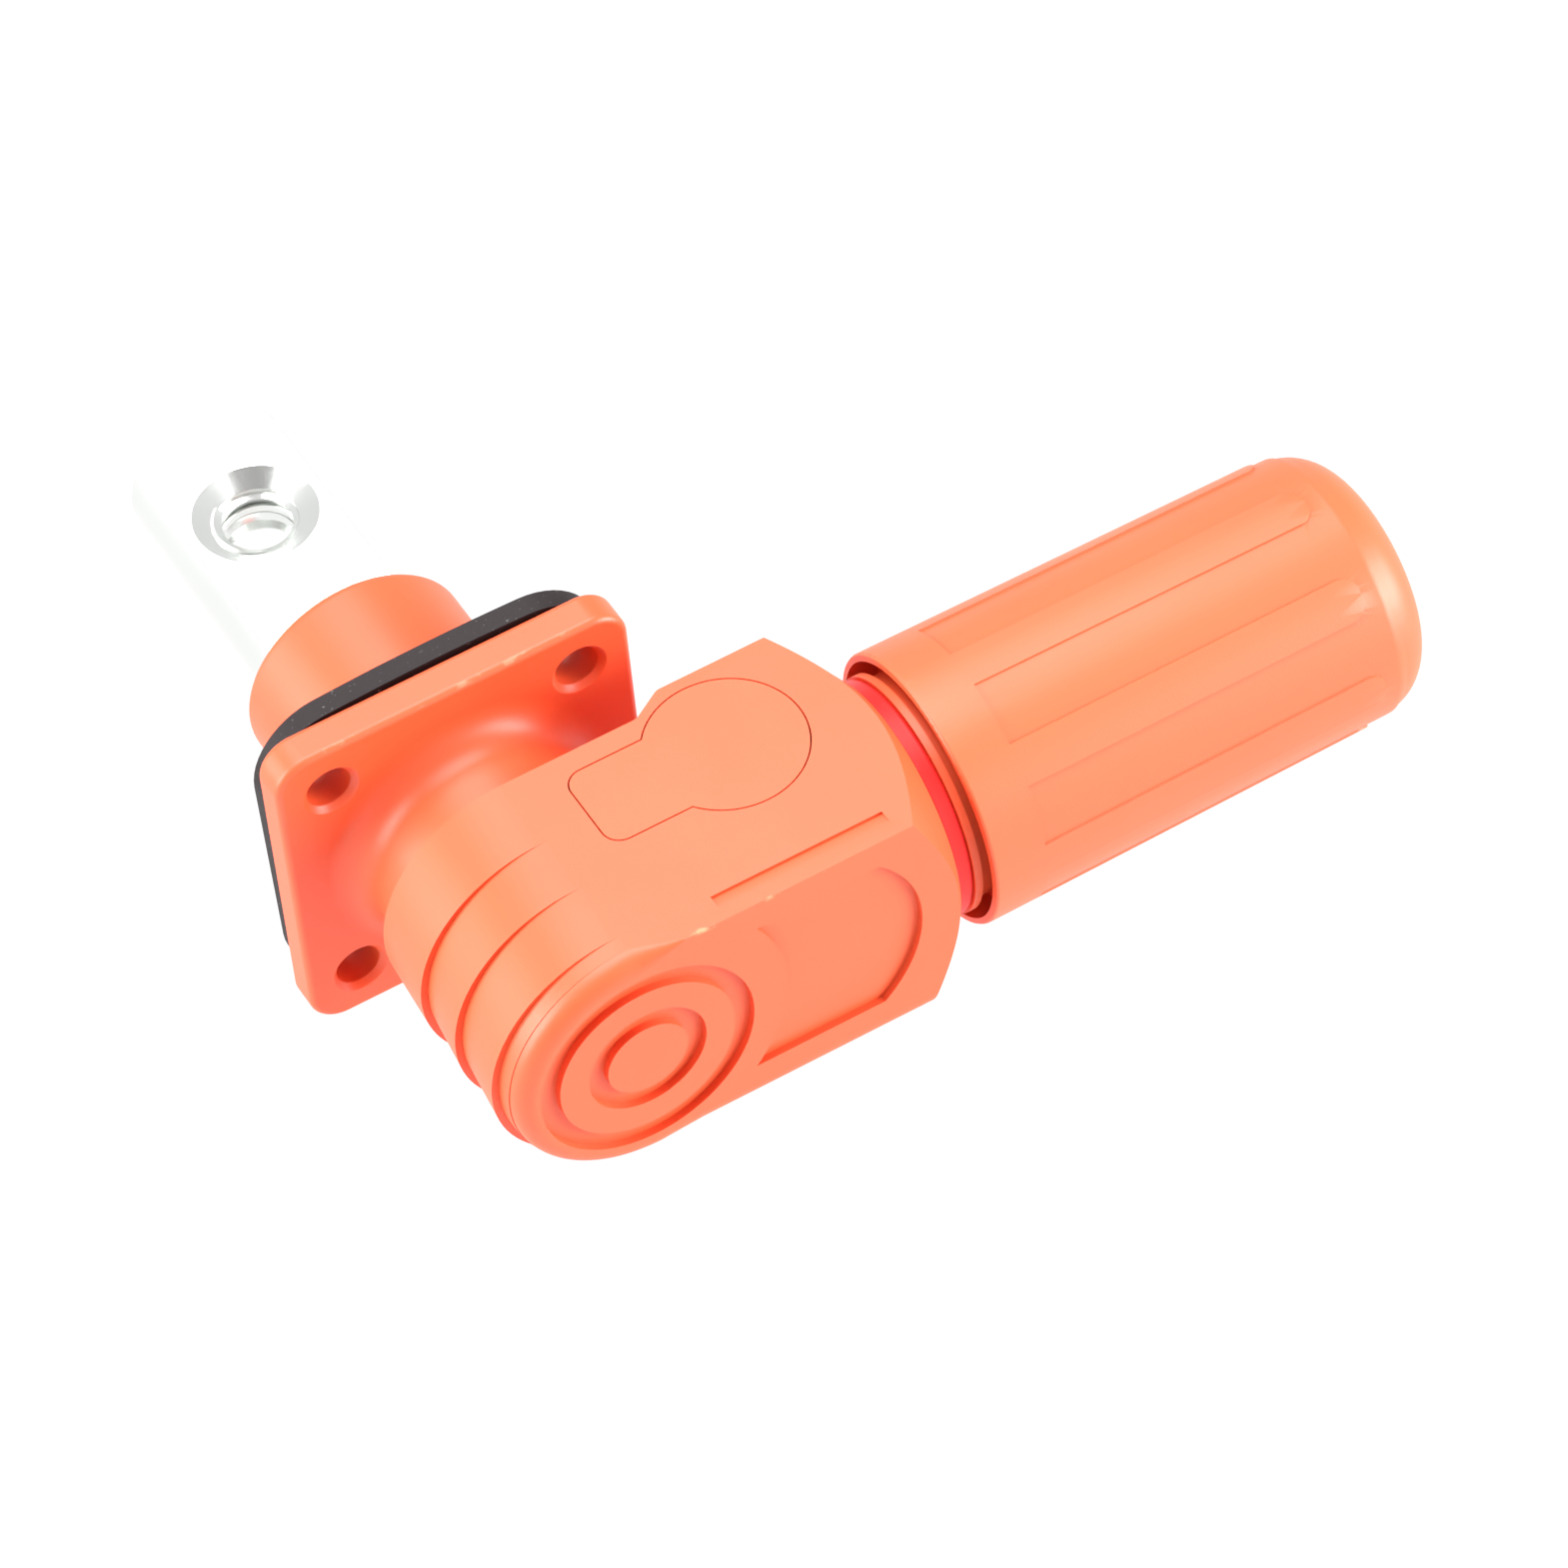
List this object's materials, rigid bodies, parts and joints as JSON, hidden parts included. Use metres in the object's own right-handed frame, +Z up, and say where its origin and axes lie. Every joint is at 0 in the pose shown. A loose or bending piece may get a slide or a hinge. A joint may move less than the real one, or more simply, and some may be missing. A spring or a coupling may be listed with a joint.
{
  "type": "battery connector",
  "caption": "Right-angle high-current cable plug with a release button and a cable gland, mated on a square-flange panel receptacle with a flat tapped busbar terminal.",
  "frame": {"origin": "on the mating axis, in the back face of the receptacle's flange", "axes": "+Y along the mating axis, from the plug towards the busbar behind the panel; +X along the cable axis, towards the gland; +Z up, the side of the release button"},
  "size_m": [0.1038, 0.0859, 0.0368],
  "materials": {
    "orange_flange": "satin moulded polyamide",
    "orange_shell": "satin moulded polyamide",
    "orange_button": "satin moulded polyamide",
    "orange_nut": "satin moulded polyamide",
    "orange_insulator": "moulded insulator",
    "silver_plate": "silver-plated copper",
    "black_rubber": "matt sheet rubber",
    "seal_rubber": "matt moulded rubber",
    "red_silicone": "moulded silicone",
    "spring_steel": "stainless spring wire",
    "spring_bronze": "plated spring bronze",
    "bolt_steel": "zinc-plated steel",
    "white_nylon": "natural polyamide"
  },
  "bodies": {
    "receptacle": {"receptacle_housing": "orange_flange", "busbar_terminal": "silver_plate", "pin_guard_cap": "orange_insulator", "panel_gasket": "black_rubber", "terminal_seal_ring": "seal_rubber", "terminal_circlip": "spring_steel"},
    "sliding_seal": {"interface_seal": "red_silicone"},
    "plug": {"elbow_housing": "orange_shell", "latch_ring": "spring_steel", "button_spring": "spring_steel", "contact_carrier": "orange_insulator", "socket_guard_ring": "orange_insulator", "socket_contact": "silver_plate", "contact_crown": "spring_bronze", "crimp_terminal": "silver_plate", "contact_bolt": "bolt_steel", "lock_washer": "bolt_steel", "neck_seal": "red_silicone", "cable_grommet": "seal_rubber", "clamp_collet": "white_nylon"},
    "button": {"release_button": "orange_button"},
    "washer": {"thrust_washer": "white_nylon"},
    "nut": {"gland_nut": "orange_nut"}
  },
  "joints": [
    {"name": "plug_pull", "type": "slide", "parent": "receptacle", "child": "sliding_seal", "axis": [0, -1, 0], "range_m": [0, 0.022], "deforming": ["latch_ring"]},
    {"name": "plug_turn", "type": "hinge", "parent": "sliding_seal", "child": "plug", "pos_m": [0, 0, 0], "axis": [0, 1, 0], "continuous": true},
    {"name": "button_press", "type": "slide", "parent": "plug", "child": "button", "axis": [0, 0, -1], "range_m": [0, 0.001], "stiffness_N_per_m": 1500, "springref_m": -0.001, "deforming": ["button_spring", "latch_ring"]},
    {"name": "gland_travel", "type": "slide", "parent": "plug", "child": "washer", "axis": [1, 0, 0], "range_m": [0, 0.02]},
    {"name": "gland_turn", "type": "hinge", "parent": "washer", "child": "nut", "pos_m": [0.06, -0.0238, 0], "axis": [1, 0, 0], "range_deg": [0, 3600]}
  ],
  "couplings": [
    {"joint": "gland_turn", "follows": "gland_travel", "rad_per_m": 3141.6}
  ]
}
